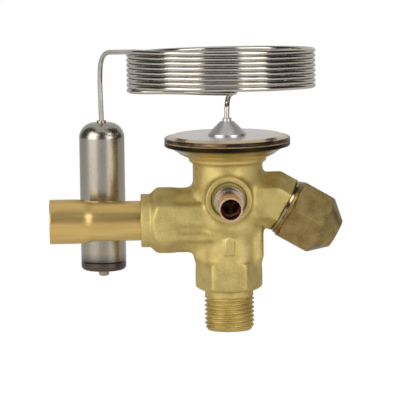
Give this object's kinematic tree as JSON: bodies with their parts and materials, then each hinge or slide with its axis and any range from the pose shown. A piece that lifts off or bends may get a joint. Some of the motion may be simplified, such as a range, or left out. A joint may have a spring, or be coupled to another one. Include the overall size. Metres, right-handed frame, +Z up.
{
  "type": "thermostatic expansion valve",
  "caption": "Brass angle expansion valve with a diaphragm power element, coiled capillary, sensing bulb, equaliser stub and capped setting arm.",
  "frame": {"origin": "centre of the inlet thread's end face", "axes": "+Z up the valve's axis to the power element, +X to the setting arm, -X to the outlet, -Y to the equaliser stub"},
  "size_m": [0.0932, 0.0659, 0.0923],
  "materials": {
    "forged_brass": "sand-blasted forging",
    "turned_brass": "turned",
    "outlet_copper": "drawn copper tube, gilded by heat",
    "stub_copper": "drawn copper tube",
    "stainless": "polished stainless steel",
    "bulb_steel": "brushed stainless steel",
    "spring_steel": "drawn spring steel",
    "seal_rubber": "moulded rubber"
  },
  "bodies": {
    "valve": {"valve_body": "forged_brass", "outlet_tube": "outlet_copper", "equalizer_tube": "stub_copper", "equalizer_ferrule": "stainless", "element_lower_cover": "stainless", "diaphragm": "stainless", "element_upper_cover": "stainless", "capillary_boss": "stainless", "capillary_element_leg": "stainless", "capillary_coil": "stainless", "capillary_bulb_leg": "stainless", "sensing_bulb": "bulb_steel", "orifice_housing": "turned_brass", "orifice_seat": "stainless", "spring_retainer": "turned_brass", "orifice_spring": "spring_steel", "inlet_strainer": "stainless", "rod_guide": "turned_brass", "rod_seal": "seal_rubber", "superheat_spring": "spring_steel", "gland_nut": "turned_brass", "spindle_seal": "seal_rubber"},
    "push_set": {"thrust_pad": "turned_brass", "push_rod": "stainless", "valve_cone": "stainless"},
    "spring_seat": {"spring_seat": "turned_brass"},
    "plunger": {"adjusting_plunger": "turned_brass"},
    "spindle": {"setting_spindle": "stainless"},
    "cap_ring": {"cap_seal_ring": "stainless"},
    "cap": {"cap_nut": "turned_brass"}
  },
  "joints": [
    {"name": "push_set_slide", "type": "slide", "parent": "valve", "child": "push_set", "axis": [0, 0, -1], "range_m": [0, 0.0008], "stiffness_N_per_m": 2000, "deforming": ["orifice_spring"]},
    {"name": "spindle_turn", "type": "hinge", "parent": "valve", "child": "spindle", "pos_m": [0, 0, 0.0498], "axis": [0.866, 0, -0.5], "range_deg": [-540, 540]},
    {"name": "plunger_slide", "type": "slide", "parent": "valve", "child": "plunger", "axis": [0.866, 0, -0.5], "range_m": [-0.0015, 0.0015]},
    {"name": "spring_seat_slide", "type": "slide", "parent": "valve", "child": "spring_seat", "axis": [0, 0, 1], "range_m": [-0.00076, 0.00076], "deforming": ["superheat_spring"]},
    {"name": "cap_ring_slide", "type": "slide", "parent": "valve", "child": "cap_ring", "axis": [0.866, 0, -0.5], "range_m": [0, 0.0126]},
    {"name": "cap_nut_turn", "type": "hinge", "parent": "cap_ring", "child": "cap", "pos_m": [0, 0, 0.0498], "axis": [0.866, 0, -0.5], "range_deg": [0, 3000]}
  ],
  "couplings": [
    {"joint": "spindle_turn", "follows": "plunger_slide", "rad_per_m": 6283.2},
    {"joint": "spring_seat_slide", "follows": "plunger_slide", "ratio": -0.5},
    {"joint": "cap_ring_slide", "follows": "cap_nut_turn", "m_per_rad": 0.00023873}
  ]
}
